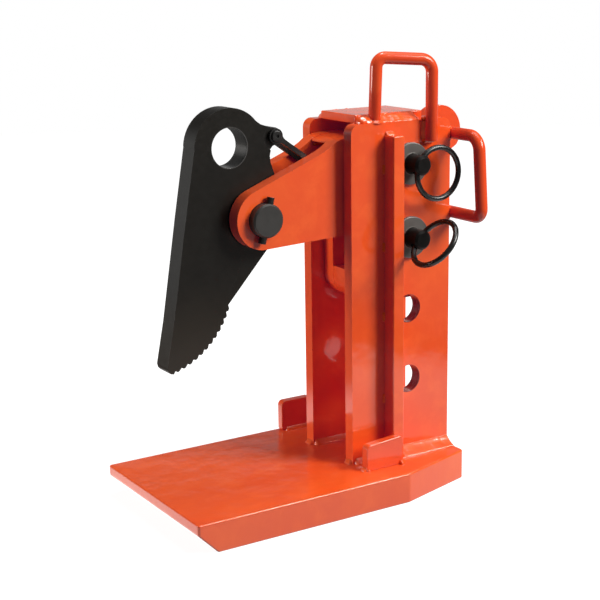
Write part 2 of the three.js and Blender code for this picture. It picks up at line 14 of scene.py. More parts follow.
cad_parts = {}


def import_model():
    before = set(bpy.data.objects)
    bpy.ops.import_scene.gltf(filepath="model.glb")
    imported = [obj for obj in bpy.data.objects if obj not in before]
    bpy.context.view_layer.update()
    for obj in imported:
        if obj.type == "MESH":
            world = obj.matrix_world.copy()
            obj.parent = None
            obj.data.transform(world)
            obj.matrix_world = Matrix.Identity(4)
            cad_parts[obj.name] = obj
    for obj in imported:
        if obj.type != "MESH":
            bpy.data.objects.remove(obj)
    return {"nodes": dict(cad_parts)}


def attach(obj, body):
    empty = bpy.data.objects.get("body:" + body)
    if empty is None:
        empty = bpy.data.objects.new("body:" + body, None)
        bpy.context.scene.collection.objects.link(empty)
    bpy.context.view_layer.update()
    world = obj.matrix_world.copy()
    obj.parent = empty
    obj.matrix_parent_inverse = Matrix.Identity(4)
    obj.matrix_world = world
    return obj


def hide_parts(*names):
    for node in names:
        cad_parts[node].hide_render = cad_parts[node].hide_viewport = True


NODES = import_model()["nodes"]
bpy.context.view_layer.update()

MM = 0.001
X, Y, Z = Vector((1, 0, 0)), Vector((0, 1, 0)), Vector((0, 0, 1))
SIDES = ((1, "left"), (-1, "right"))

# ------------------------------------------------------------------ dimensions, mm
BASE_TOP = 30.0
PLATE_INNER, PLATE_OUTER = 30.0, 42.5  # faces of the side plates, as distances from y = 0
PLATE_TOP = 367.0
PLATE_REAR = -118.0
GUARD_FRONT, GUARD_REAR, GUARD_TOP = -38.0, -51.0, 355.0
TIE_TOP, TIE_BOTTOM = 338.0, 214.0
LUG_HALF = 6.0

# the row of drilled holes that the locking pins sit in
PIN_X, PIN_TOP_Z, PIN_PITCH, PIN_HOLE_R = -68.0, 325.6, 72.6, 14.0

BAR_R = 6.0  # round bar of both handles
FOOT_X, FOOT_Y = -31.1, PLATE_INNER + BAR_R + 0.4  # front foot of the top handle
LEG_X, LEG_BOTTOM = -90.3, 346.0  # rear leg of the top handle
REAR_BAR_X = PLATE_REAR - BAR_R
REAR_BAR_UPPER, REAR_BAR_LOWER = 350.6, 271.6


# ------------------------------------------------------------------ node helpers
class Tree:
    """Short hand for building node trees. Values may be sockets, which are linked, or constants."""

    def __init__(self, tree):
        self.tree = tree

    def fill(self, node, inputs):
        for key, value in inputs.items():
            if isinstance(value, bpy.types.NodeSocket):
                self.tree.links.new(value, node.inputs[key])
            elif value is not None:
                node.inputs[key].default_value = value

    def node(self, kind, inputs=None, **props):
        node = self.tree.nodes.new(kind)
        for key, value in props.items():
            setattr(node, key, value)
        self.fill(node, inputs or {})
        return node

    def math(self, operation, a, b=None):
        return self.node("ShaderNodeMath", {0: a, 1: b}, operation=operation).outputs[0]

    def times(self, value, by):
        return self.math("MULTIPLY", value, by)

    def vmath(self, operation, a, b=None, out=0):
        """out: 0 for a vector result, 1 for a number."""
        return self.node("ShaderNodeVectorMath", {0: a, 1: b}, operation=operation).outputs[out]

    def separate(self, vector):
        return self.node("ShaderNodeSeparateXYZ", {0: vector}).outputs

    def distance_xz(self, dx, dz):
        return self.math("SQRT", self.math("ADD", self.times(dx, by=dx), self.times(dz, by=dz)))

    def noise(self, vector, scale, detail=3.0, rough=0.5, distortion=0.0):
        return self.node("ShaderNodeTexNoise", {
            "Vector": vector, "Scale": scale, "Detail": detail, "Roughness": rough,
            "Distortion": distortion}).outputs[0]

    def axis_noise(self, vector, scales, **settings):
        """Noise with its own scale along each axis."""
        return self.noise(self.vmath("MULTIPLY", vector, scales), scale=1.0, **settings)

    def ramp(self, value, lo, hi, start=0.0, end=1.0):
        """Smooth step from start (at lo) to end (at hi)."""
        return self.node("ShaderNodeMapRange", {
            "Value": value, "From Min": lo, "From Max": hi, "To Min": start, "To Max": end,
        }, clamp=True, interpolation_type="SMOOTHSTEP").outputs[0]

    def mix(self, factor, a, b):
        """Colour mix."""
        return self.node("ShaderNodeMix", {0: factor, 6: a, 7: b}, data_type="RGBA").outputs[2]

    def mix_value(self, factor, a, b):
        return self.node("ShaderNodeMix", {0: factor, 2: a, 3: b}, data_type="FLOAT").outputs[0]

    def bump(self, height, distance, strength, normal=None):
        return self.node("ShaderNodeBump", {
            "Strength": strength, "Distance": distance, "Height": height,
            "Normal": normal}).outputs[0]

    def geometry(self, output):
        return self.node("ShaderNodeNewGeometry").outputs[output]

    def edge_mask(self, radius):
        """1 on convex and concave edges, 0 on flats."""
        bevel = self.node("ShaderNodeBevel", {"Radius": radius}, samples=6)
        dot = self.vmath("DOT_PRODUCT", bevel.outputs[0], self.geometry("Normal"), out=1)
        return self.ramp(dot, lo=0.9, hi=0.995, start=1.0, end=0.0)

    def cut_lines(self, coord, axis, across, along, strength, normal=None):
        """Torch lines on the cut edges of a plate; axis is the plate's thickness axis."""
        scales, direction = [across] * 3, [0.0] * 3
        scales[axis], direction[axis] = along, 1.0
        lines = self.axis_noise(coord, scales, detail=2.0, rough=0.6)
        dot = self.vmath("DOT_PRODUCT", self.geometry("Normal"), direction, out=1)
        side = self.ramp(self.math("ABSOLUTE", dot), lo=0.15, hi=0.5, start=1.0, end=0.0)
        height = self.times(lines, by=side)
        return self.bump(height, distance=0.00022, strength=strength, normal=normal)


def blank_material(name):
    mat = bpy.data.materials.new(name)
    mat.use_nodes = True
    mat.node_tree.nodes.clear()
    tree = Tree(mat.node_tree)
    return mat, tree, tree.node("ShaderNodeOutputMaterial")


def principled(name):
    mat, tree, output = blank_material(name)
    bsdf = tree.node("ShaderNodeBsdfPrincipled")
    tree.fill(output, {0: bsdf.outputs[0]})
    return mat, tree, bsdf, tree.node("ShaderNodeTexCoord").outputs["Object"]


# ------------------------------------------------------------------ materials
PAINT = (0.86, 0.100, 0.008, 1)
PAINT_DEEP = (0.81, 0.080, 0.006, 1)
PAINT_LIGHT = (0.90, 0.120, 0.012, 1)
PAINT_THIN_EDGE_HIGHLIGHT = (0.95, 0.16, 0.045, 1)  # lighter along edges: thinner paint there, and a painted edge highlight
PAINTED_SHADE_RED = (0.50, 0.012, 0.004, 1)  # painted shade: mixed in to darken a whole piece, standing for the shade on it
PRIMER = (0.10, 0.045, 0.035, 1)
BORE_PAINT = (0.15, 0.009, 0.004, 1)
BORE_BARE = (0.13, 0.075, 0.062, 1)


def paint_bores(tree, coord, colour):
    """Walls of the drilled holes: darker than the rest of the paint, with the drill marks grinning
    through.
    """
    x, y, z = tree.separate(coord)
    dx = tree.math("SUBTRACT", x, PIN_X * MM)
    dz = tree.math("PINGPONG", tree.math("SUBTRACT", z, PIN_TOP_Z * MM), PIN_PITCH * MM / 2)
    wall = tree.ramp(tree.distance_xz(dx, dz), lo=PIN_HOLE_R * MM + 0.0001,
                     hi=PIN_HOLE_R * MM + 0.0005, start=1.0, end=0.0)
    # the row has no hole at the foot of the post
    wall = tree.times(wall, by=tree.ramp(z, lo=0.062, hi=0.070))
    marks = tree.axis_noise(coord, (150.0, 900.0, 150.0), rough=0.6)
    bare = tree.mix(tree.ramp(marks, lo=0.50, hi=0.60), BORE_PAINT, BORE_BARE)
    return tree.mix(wall, colour, bare)


def paint(name, cut_axis=None, bores=False, shaded_brightness=1.0, coat=1.0):
    """Glossy sprayed enamel. cut_axis is the thickness axis of a torch-cut plate; bores adds the
    pin hole walls; deep below 1 paints shade into the whole piece, darkening its colour."""
    mat, tree, bsdf, coord = principled(name)
    big = tree.noise(coord, scale=7.0, detail=2.0)
    mid = tree.noise(coord, scale=55.0, detail=4.0, rough=0.6)
    streak = tree.axis_noise(coord, (26.0, 60.0, 26.0), detail=4.0, rough=0.62, distortion=0.8)
    colour = tree.mix(tree.ramp(big, lo=0.35, hi=0.65), PAINT_DEEP, PAINT)
    colour = tree.mix(tree.ramp(mid, lo=0.48, hi=0.72, end=0.35), colour, PAINT_LIGHT)
    colour = tree.mix(tree.ramp(streak, lo=0.50, hi=0.70, end=0.55), colour, PAINT_LIGHT)
    colour = tree.mix(tree.ramp(streak, lo=0.46, hi=0.30, end=0.50), colour, PAINT_DEEP)
    # edges turn lighter in patches: thinner paint there, plus a painted highlight along the edges
    edge = tree.edge_mask(radius=0.0011)
    patches = tree.ramp(tree.noise(coord, scale=240.0), lo=0.35, hi=0.7, start=0.25, end=0.8)
    thin_and_highlight = tree.times(edge, by=patches)
    colour = tree.mix(tree.times(thin_and_highlight, by=0.5), colour, PAINT_THIN_EDGE_HIGHLIGHT)
    # a few pin-head chips down to the primer, only along the edges
    specks = tree.ramp(tree.noise(coord, scale=420.0, detail=2.0), lo=0.735, hi=0.75)
    chip = tree.times(tree.ramp(edge, lo=0.35, hi=0.6), by=specks)
    colour = tree.mix(chip, colour, PRIMER)
    # painted shade: the whole piece is darkened towards a dark red, standing for the shade it lies
    # in
    if shaded_brightness < 1.0:
        colour = tree.mix(1.0 - shaded_brightness, colour, PAINTED_SHADE_RED)
    if bores:
        colour = paint_bores(tree, coord, colour)

    peel = tree.noise(coord, scale=520.0, detail=2.0)
    wave = tree.noise(coord, scale=42.0, detail=2.0)
    normal = tree.bump(wave, distance=0.0012, strength=0.35)
    if cut_axis is not None:
        normal = tree.cut_lines(coord, cut_axis, across=1400.0, along=30.0, strength=0.55,
                                normal=normal)
    coat_normal = tree.bump(wave, distance=0.0012, strength=0.32)
    tree.fill(bsdf, {
        "Base Color": colour,
        "Roughness": tree.ramp(mid, lo=0.3, hi=0.7, start=0.30, end=0.42),
        "IOR": 1.5,
        "Specular IOR Level": 0.10,
        # a faint glow keeps the shadows wine red rather than brown
        "Emission Color": (0.1, 0.0, 1.0, 1),
        "Emission Strength": 0.007,
        "Coat Weight": coat,
        "Coat IOR": 1.5,
        "Coat Roughness": tree.ramp(streak, lo=0.3, hi=0.7, start=0.03, end=0.13),
        "Normal": tree.bump(peel, distance=0.00007, strength=0.5, normal=normal),
        "Coat Normal": tree.bump(peel, distance=0.00003, strength=0.4, normal=coat_normal),
    })
    return mat


def weld_paint(name, specular, coat, coat_rough):
    """Enamel over weld beads."""
    mat, tree, bsdf, coord = principled(name)
    mid = tree.noise(coord, scale=130.0, detail=4.0, rough=0.6)
    grain = tree.noise(coord, scale=330.0, rough=0.6)
    tree.fill(bsdf, {
        "Base Color": tree.mix(tree.ramp(mid, lo=0.35, hi=0.7), PAINT_DEEP, PAINT),
        "Roughness": 0.3,
        "Specular IOR Level": specular,
        "Coat Weight": coat,
        "Coat Roughness": coat_rough,
        "Normal": tree.bump(grain, distance=0.0003, strength=0.5),
    })
    return mat


CAM_DARK = (0.0060, 0.0050, 0.0038, 1)
CAM_LIGHT = (0.0095, 0.0080, 0.0060, 1)
CAM_TOE = (0.030, 0.020, 0.012, 1)
CAM_RUBBED = (0.070, 0.066, 0.064, 1)
TURNED_DARK = (0.055, 0.052, 0.048, 1)
TURNED_LIGHT = (0.16, 0.155, 0.15, 1)
EYE_X, EYE_Z = 0.1133, 0.3517  # centre of the lifting eye, m


def cam_black():
    """Blacked cam lever with a brighter bored lifting eye."""
    mat, tree, bsdf, coord = principled("cam_black")
    x, y, z = tree.separate(coord)
    big = tree.noise(coord, scale=14.0)
    fine = tree.noise(coord, scale=210.0, detail=5.0, rough=0.65)
    colour = tree.mix(tree.ramp(big, lo=0.35, hi=0.7), CAM_DARK, CAM_LIGHT)
    # the cam is browner towards its bottom, over the toe
    toe = tree.ramp(z, lo=0.15, hi=0.24, start=1.0, end=0.0)
    colour = tree.mix(tree.times(toe, by=0.45), colour, CAM_TOE)
    patches = tree.ramp(tree.noise(coord, scale=300.0), lo=0.4, hi=0.7, start=0.15, end=0.75)
    rub = tree.times(tree.edge_mask(radius=0.0009), by=patches)
    colour = tree.mix(tree.times(rub, by=0.55), colour, CAM_RUBBED)
    # bored wall of the lifting eye: turned steel, only thinly blacked
    radius = tree.distance_xz(tree.math("SUBTRACT", x, EYE_X), tree.math("SUBTRACT", z, EYE_Z))
    bore = tree.ramp(radius, lo=0.0190, hi=0.0197, start=1.0, end=0.0)
    rings = tree.axis_noise(coord, (12.0, 2600.0, 12.0), detail=2.0)
    steel = tree.mix(tree.ramp(rings, lo=0.3, hi=0.7), TURNED_DARK, TURNED_LIGHT)
    rough = tree.mix_value(tree.ramp(fine, lo=0.3, hi=0.7), a=0.34, b=0.48)

    normal = tree.cut_lines(coord, axis=1, across=1300.0, along=40.0, strength=0.45)
    normal = tree.bump(fine, distance=0.00012, strength=0.5, normal=normal)
    wave = tree.noise(coord, scale=60.0, detail=2.0)
    tree.fill(bsdf, {
        "Base Color": tree.mix(bore, colour, steel),
        "Metallic": tree.times(bore, by=0.85),
        "Roughness": tree.mix_value(bore, a=rough, b=0.26),
        "Specular IOR Level": 0.16,
        "Coat Weight": 0.22,
        "Coat Roughness": 0.20,
        "Normal": tree.bump(wave, distance=0.0008, strength=0.18, normal=normal),
    })
    return mat


def oxide(name, base, worn, metallic, rough, shank=None):
    """Blacked or plain steel. rough is (lowest, highest); shank is (y in metres above which the
    piece is darker, colour there)."""
    mat, tree, bsdf, coord = principled(name)
    mid = tree.noise(coord, scale=160.0, detail=4.0, rough=0.6)
    big = tree.noise(coord, scale=30.0, detail=2.0)
    lighter = tuple(channel * 1.5 for channel in base[:3]) + (1,)
    colour = tree.mix(tree.ramp(big, lo=0.3, hi=0.7), base, lighter)
    patches = tree.ramp(tree.noise(coord, scale=500.0), lo=0.4, hi=0.65, start=0.1, end=0.8)
    rub = tree.times(tree.edge_mask(radius=0.0006), by=patches)
    colour = tree.mix(tree.times(rub, by=0.6), colour, worn)
    colour = tree.mix(tree.ramp(mid, lo=0.62, hi=0.8, end=0.35), colour, worn)
    if shank:
        start_y, shank_colour = shank
        mask = tree.ramp(tree.separate(coord)[1], lo=start_y, hi=start_y + 0.0006)
        colour = tree.mix(mask, colour, shank_colour)
        tree.fill(bsdf, {"Specular IOR Level": tree.mix_value(mask, a=0.5, b=0.12)})
    grain = tree.noise(coord, scale=700.0, rough=0.6)
    tree.fill(bsdf, {
        "Base Color": colour,
        "Metallic": metallic,
        "Roughness": tree.mix_value(tree.ramp(mid, lo=0.3, hi=0.7), *rough),
        "Normal": tree.bump(grain, distance=0.00008, strength=0.6),
    })
    return mat


MAT = {
    "paint": paint("paint"),
    "paint_y": paint("paint_plate_y", cut_axis=1),
    "paint_z": paint("paint_plate_z", cut_axis=2),
    "paint_side": paint("paint_side_plate", cut_axis=1, bores=True),
    # the next two carry painted shade: the small plates and the handle bars are darkened in colour
    "paint_shaded": paint("paint_small_plate_shaded", cut_axis=1, shaded_brightness=0.82),
    "paint_bar_shaded": paint("paint_bar_shaded", shaded_brightness=0.66, coat=0.5),
    "weld": weld_paint("paint_weld", specular=0.4, coat=1.0, coat_rough=0.05),
    "weld_dull": weld_paint("paint_weld_dull", specular=0.1, coat=0.25, coat_rough=0.25),
    "cam": cam_black(),
    "oxide": oxide("black_oxide", base=(0.0085, 0.0080, 0.0078, 1),
                   worn=(0.050, 0.048, 0.047, 1), metallic=0.2, rough=(0.24, 0.38)),
    "pin": oxide("black_oxide_pin", base=(0.094, 0.086, 0.080, 1),
                 worn=(0.23, 0.22, 0.21, 1), metallic=0.35, rough=(0.36, 0.52),
                 shank=(0.0479, (0.0075, 0.0068, 0.0064, 1))),
    "pivot": oxide("black_oxide_pivot", base=(0.020, 0.0185, 0.0175, 1),
                   worn=(0.060, 0.057, 0.055, 1), metallic=0.2, rough=(0.42, 0.56)),
    "ring": oxide("black_oxide_ring", base=(0.0045, 0.0043, 0.0041, 1),
                  worn=(0.020, 0.0195, 0.019, 1), metallic=0.1, rough=(0.22, 0.34)),
    "steel": oxide("plain_steel", base=(0.20, 0.195, 0.19, 1),
                   worn=(0.45, 0.44, 0.43, 1), metallic=0.9, rough=(0.28, 0.45)),
}


# ------------------------------------------------------------------ finishing the CAD nodes
BEVEL_ANGLE = 34  # edges sharper than this are bevelled, degrees
SHADE_ANGLE = 40  # edges sharper than this are shaded sharp, degrees
CAM_TOE_BALL = ((0.150, 0.0, 0.166), 0.056, 0.26)  # centre and radius in m, bevel weight


def geometry_group(name):
    group = bpy.data.node_groups.new(name, "GeometryNodeTree")
    for direction in ("INPUT", "OUTPUT"):
        group.interface.new_socket("Geometry", in_out=direction,
                                   socket_type="NodeSocketGeometry")
    tree = Tree(group)
    source = tree.node("NodeGroupInput").outputs[0]
    return group, tree, source, tree.node("NodeGroupOutput")


def sharper_than(tree, degrees):
    angle = tree.node("GeometryNodeInputMeshEdgeAngle").outputs[0]
    return tree.node("FunctionNodeCompare", {0: angle, 1: math.radians(degrees)},
                     data_type="FLOAT", operation="GREATER_THAN").outputs[0]


def clean_group():
    """Drops the imported split normals and welds the split vertices."""
    group, tree, source, output = geometry_group("clean")
    bare = tree.node("GeometryNodeRemoveAttribute", {0: source, "Name": "custom_normal"})
    merged = tree.node("GeometryNodeMergeByDistance", {0: bare.outputs[0], "Distance": 2e-6})
    tree.fill(output, {0: merged.outputs[0]})
    return group


def weight_group(name, ball=None):
    """Weights sharp edges for the bevel. Inside the ball (centre, radius, weight) it is finer."""
    group, tree, source, output = geometry_group(name)
    weight = sharper_than(tree, BEVEL_ANGLE)
    if ball:
        centre, radius, ball_weight = ball
        position = tree.node("GeometryNodeInputPosition").outputs[0]
        distance = tree.vmath("DISTANCE", position, centre, out=1)
        inside = tree.node("FunctionNodeCompare", {0: distance, 1: radius},
                           data_type="FLOAT", operation="LESS_THAN").outputs[0]
        factor = tree.node("GeometryNodeSwitch", {0: inside, 1: 1.0, 2: ball_weight},
                           input_type="FLOAT").outputs[0]
        weight = tree.times(weight, by=factor)
    store = tree.node("GeometryNodeStoreNamedAttribute",
                      {"Name": "bevel_weight_edge", 0: source, "Value": weight},
                      data_type="FLOAT", domain="EDGE")
    tree.fill(output, {0: store.outputs[0]})
    return group


def smooth_group():
    """Smooth shading, split at sharp edges."""
    group, tree, source, output = geometry_group(f"smooth_{SHADE_ANGLE}")
    faces = tree.node("GeometryNodeSetShadeSmooth", {0: source}, domain="FACE")
    edges = tree.node("GeometryNodeSetShadeSmooth", {
        0: faces.outputs[0], "Selection": sharper_than(tree, SHADE_ANGLE),
        "Shade Smooth": False}, domain="EDGE")
    tree.fill(output, {0: edges.outputs[0]})
    return group


CLEAN = clean_group()
WEIGHT = weight_group("weight")
WEIGHT_CAM = weight_group("weight_cam", CAM_TOE_BALL)
SMOOTH = smooth_group()


def dress(obj, mat, bevel, segments, weights):
    """Gives a CAD piece its material, rounded edges (bevel in mm) and even shading."""
    slots = obj.data.materials
    for i in range(len(slots)):
        slots[i] = mat
    if not slots:
        slots.append(mat)
    obj.modifiers.new("clean", "NODES").node_group = CLEAN
    flats = obj.modifiers.new("flats", "DECIMATE")
    flats.decimate_type = "DISSOLVE"
    flats.angle_limit = math.radians(0.4)
    obj.modifiers.new("weights", "NODES").node_group = weights
    rounding = obj.modifiers.new("round", "BEVEL")
    rounding.width = bevel * MM
    rounding.segments = segments
    rounding.limit_method = "WEIGHT"
    rounding.use_clamp_overlap = True
    rounding.miter_outer = "MITER_ARC"
    obj.modifiers.new("smooth", "NODES").node_group = SMOOTH
    even = obj.modifiers.new("even", "WEIGHTED_NORMAL")
    even.keep_sharp = True
    even.weight = 60


# material, bevel in mm, bevel segments, pieces
FINISHES = (
    ("paint_side", 1.3, 4, ("side_plate_left", "side_plate_right")),
    ("paint_z", 1.6, 4, ("base_plate",)),
    ("paint_z", 1.2, 4, ("top_plate",)),
    ("paint_y", 1.2, 4, ("guard_bar_left", "guard_bar_right")),
    # stop plates and rear lug: colour darkened as painted shade
    ("paint_shaded", 1.2, 4, ("stop_plate_left", "stop_plate_right", "rear_lug")),
    ("paint_y", 1.4, 4, ("arm_plate_left", "arm_plate_right")),
    ("paint", 0.8, 3, ("arm_upper_block", "arm_lower_block", "rear_tie_plate")),
    ("cam", 1.1, 4, ("cam_lever",)),
    ("pivot", 0.5, 3, ("pivot_pin",)),
    ("oxide", 0.5, 3, ("roll_pin_left", "roll_pin_right")),
    ("steel", 0.3, 2, ("pivot_washer_left", "pivot_washer_right")),
    ("oxide", 0.5, 3, ("link_strap_left", "link_strap_right")),
    ("oxide", 0.3, 2, ("link_bolt", "link_tail_pin", "link_guide_pin")),
    ("pin", 0.35, 2, ("locking_pin_upper", "locking_pin_lower")),
)
for mat_key, bevel_width, bevel_segments, pieces in FINISHES:
    for piece in pieces:
        dress(NODES[piece], MAT[mat_key], bevel_width, bevel_segments,
              WEIGHT_CAM if piece == "cam_lever" else WEIGHT)


# ------------------------------------------------------------------ swept pieces
def add_object(name, data):
    obj = bpy.data.objects.new(name, data)
    bpy.context.scene.collection.objects.link(obj)
    return obj


def add_mesh(name, verts, faces, mat):
    """Smooth mesh with its normals facing out."""
    mesh = bpy.data.meshes.new(name)
    mesh.from_pydata([tuple(v) for v in verts], [], faces)
    mesh.validate()
    bm = bmesh.new()
    bm.from_mesh(mesh)
    bmesh.ops.recalc_face_normals(bm, faces=bm.faces)
    bm.to_mesh(mesh)
    bm.free()
    for polygon in mesh.polygons:
        polygon.use_smooth = True
    obj = add_object(name, mesh)
    mesh.materials.append(MAT[mat])
    return obj


def skin(count, sides, closed):
    """Faces over count rings of vertices, joined in a loop or capped at both ends."""
    faces = []
    for i in range(count if closed else count - 1):
        a, b = i * sides, ((i + 1) % count) * sides
        for j in range(sides):
            k = (j + 1) % sides
            faces.append((a + j, a + k, b + k, b + j))
    if not closed:
        faces.append(tuple(range(sides - 1, -1, -1)))
        faces.append(tuple((count - 1) * sides + j for j in range(sides)))
    return faces


def bar_path(corners, radii, steps=22):
    """Centre line of a bent round bar: straight runs joined by true arcs."""
    corners = [Vector(c) for c in corners]
    path = [corners[0]]
    for before, corner, after, radius in zip(corners, corners[1:], corners[2:], radii):
        back, ahead = (before - corner).normalized(), (after - corner).normalized()
        half = back.angle(ahead) / 2
        reach = radius / math.tan(half)
        centre = corner + (back + ahead).normalized() * (radius / math.sin(half))
        start, end = corner + back * reach - centre, corner + ahead * reach - centre
        total, axis = start.angle(end), start.cross(end).normalized()
        for k in range(steps + 1):
            path.append(centre + Quaternion(axis, total * k / steps) @ start)
    path.append(corners[-1])
    return path


# rounded bar end: distance from the end, amount taken off the radius
BAR_END = ((0.0, 0.7), (0.25, 0.2), (0.8, 0.0))


def round_bar(name, path, radius, mat, sides=36):
    """Sweeps a circle along a path, with the ends slightly rounded."""
    tangents = []
    for i in range(len(path)):
        tangent = Vector((0, 0, 0))
        if i > 0:
            tangent += (path[i] - path[i - 1]).normalized()
        if i < len(path) - 1:
            tangent += (path[i + 1] - path[i]).normalized()
        tangents.append(tangent.normalized())
    across = tangents[0].orthogonal().normalized()
    previous = tangents[0]
    frames = []
    for point, tangent in zip(path, tangents):
        across = previous.rotation_difference(tangent) @ across
        previous = tangent
        across = (across - tangent * across.dot(tangent)).normalized()
        frames.append((point, across.copy(), tangent.cross(across)))

    def end_rings(frame, inward):
        point, u, v = frame
        return [(point + inward * offset, u, v, radius - cut) for offset, cut in BAR_END]

    rings = end_rings(frames[0], tangents[0])
    rings += [(*frame, radius) for frame in frames[1:-1]]
    rings += reversed(end_rings(frames[-1], -tangents[-1]))
    verts = []
    for point, u, v, r in rings:
        for j in range(sides):
            a = 2 * math.pi * j / sides
            verts.append((point + u * (r * math.cos(a)) + v * (r * math.sin(a))) * MM)
    return add_mesh(name, verts, skin(len(rings), sides, closed=False), mat)


def handle(tag, corners, radii):
    """Bent bar that replaces the CAD handle; radii are those of its two bends."""
    # the bar's paint is darkened as painted shade
    bar = round_bar(f"{tag}_bar", bar_path(corners, radii), BAR_R, "paint_bar_shaded")
    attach(bar, "frame")
    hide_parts(tag)


handle("top_handle", (
    (FOOT_X, FOOT_Y, PLATE_TOP),
    (FOOT_X - 2.6, FOOT_Y, 428.2),
    (LEG_X, PLATE_OUTER + BAR_R, 424.2),
    (LEG_X, PLATE_OUTER + BAR_R, LEG_BOTTOM),
), radii=(9, 12.5))
handle("rear_handle", (
    (REAR_BAR_X, 10, REAR_BAR_UPPER),
    (REAR_BAR_X, 79.4, REAR_BAR_UPPER),
    (REAR_BAR_X, 86.0, REAR_BAR_LOWER),
    (REAR_BAR_X, 10, REAR_BAR_LOWER),
), radii=(15, 9))

RING_R, WIRE_R = 25.0, 2.75
RING_Y = 59.5
RING_OVERLAP = 0.8  # how far the wire's centre line passes beyond the pin axis
RING_STEPS, WIRE_SIDES = 144, 24
JOINT_ANGLE, JOINT_SWELL, JOINT_WIDTH = 0.9, 0.22, 1.6  # radians, mm, mm


def pull_ring(tag, z, across, outward):
    """Closed wire ring in the plane of across and outward, its centre outward of the pin.
    The butt joint of the wire shows as a slight swelling on the far side from the pin."""
    out_dir, side_dir = Vector(outward).normalized(), Vector(across).normalized()
    normal = out_dir.cross(side_dir).normalized()
    centre = Vector((PIN_X, RING_Y, z)) + out_dir * (RING_R - RING_OVERLAP)
    verts = []
    for i in range(RING_STEPS):
        a = 2 * math.pi * i / RING_STEPS
        radial = out_dir * math.cos(a) + side_dir * math.sin(a)
        from_joint = math.atan2(math.sin(a - JOINT_ANGLE), math.cos(a - JOINT_ANGLE))
        wire = WIRE_R + JOINT_SWELL * math.exp(-(from_joint * RING_R / JOINT_WIDTH) ** 2)
        for j in range(WIRE_SIDES):
            b = 2 * math.pi * j / WIRE_SIDES
            verts.append((centre + radial * (RING_R + wire * math.cos(b))
                          + normal * (wire * math.sin(b))) * MM)
    ring = add_mesh(f"pull_ring_{tag}_wire", verts, skin(RING_STEPS, WIRE_SIDES, closed=True),
                    "ring")
    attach(ring, f"{tag}_ring")
    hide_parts(f"pull_ring_{tag}")


pull_ring("upper", PIN_TOP_Z, across=(-0.404, 0, 0.915), outward=(-0.915, 0, -0.404))
pull_ring("lower", PIN_TOP_Z - PIN_PITCH, across=(-0.652, 0, 0.758), outward=(0, 1, 0))


# ------------------------------------------------------------------ weld beads
ARC_POINTS = 13  # across the face of a bead
STATION_STEP = 0.65  # longest spacing of cross sections along a bead
TOE_SINK, ROOT_SINK = 0.35, 0.5  # how far the edges and the root lie inside the parts


def resample(stations, leg, closed):
    """Cross sections (corner, direction a, direction b, distance along) and the full length."""
    stations = [(Vector(p), Vector(a).normalized(), Vector(b).normalized())
                for p, a, b in stations]
    if closed:
        stations.append(stations[0])
    sections, total = [], 0.0
    for (p0, a0, b0), (p1, a1, b1) in zip(stations, stations[1:]):
        turn = max(a0.angle(a1, 0), b0.angle(b1, 0))
        length = (p1 - p0).length + turn * leg * 0.5
        count = max(1, int(math.ceil(length / STATION_STEP)))
        for j in range(count):
            f = j / count
            sections.append((p0.lerp(p1, f), a0.lerp(a1, f).normalized(),
                             b0.lerp(b1, f).normalized(), total + length * f))
        total += length
    if not closed:
        sections.append((*stations[-1], total))
    return sections, total


def bead(name, stations, leg, leg_b=None, closed=False, pitch=2.6, ripple=0.22, bulge=0.16,
         seed=0.0, lump=0.0, flush_end=False, rough=1.0, mat="weld"):
    """Fillet weld with crescent ripples, filling the corner between two faces.

    stations: (corner point, direction along face a, direction along face b)
    leg, leg_b: width on face a and on face b (the same if not given)
    pitch, ripple: spacing and height of the ripples
    bulge: crown height over leg, hollow if negative; lump: slow swelling
    rough: unevenness of the legs; flush_end: the last end doesn't taper
    """
    sections, total = resample(stations, leg, closed)
    verts = []
    for corner, dir_a, dir_b, along in sections:
        def waver(frequency, offset, z):
            return rough * noise.noise(Vector((along * frequency, seed + offset, z)))

        size = leg * (1 + 0.10 * waver(0.09, 0.0, 3.1) + 0.05 * waver(0.4, 0.0, 7.7))
        size_a = size * (1 + 0.07 * waver(0.22, 5.0, 1.3))
        size_b = size * (1 + 0.07 * waver(0.22, 9.0, 4.9)) * ((leg_b or leg) / leg)
        end = 1.0
        if not closed:
            from_end = along if flush_end else min(along, total - along)
            e = from_end / (leg * 0.55)
            end = math.sqrt(max(0.0, 1 - (1 - min(1.0, e)) ** 2)) * 0.86 + 0.14
        diagonal = (dir_a + dir_b).normalized()
        for q in range(ARC_POINTS):
            f = q / (ARC_POINTS - 1)
            crown = math.sin(math.pi * f)
            phase = (along - 0.30 * leg * crown) / pitch
            fraction = phase - math.floor(phase)
            wave = (fraction ** 0.8) * (1 - fraction ** 5) * 1.25
            swell = lump * noise.noise(Vector((along * 0.055, seed + 2.0, f * 2.6)))
            lift = (bulge * size + swell + ripple * wave * (0.35 + 0.65 * crown)) * crown
            point = (corner + dir_a * (size_a * (1 - f) * end) + dir_b * (size_b * f * end)
                     + diagonal * (lift * end))
            if q == 0:
                point = point - dir_b * TOE_SINK
            if q == ARC_POINTS - 1:
                point = point - dir_a * TOE_SINK
            verts.append(point * MM)
        verts.append((corner - diagonal * ROOT_SINK) * MM)
    obj = add_mesh(name, verts, skin(len(sections), ARC_POINTS + 1, closed), mat)
    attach(obj, "frame")


def run(name, start, end, dir_a, dir_b, **shape):
    """Straight bead."""
    bead(name, [(start, dir_a, dir_b), (end, dir_a, dir_b)], **shape)


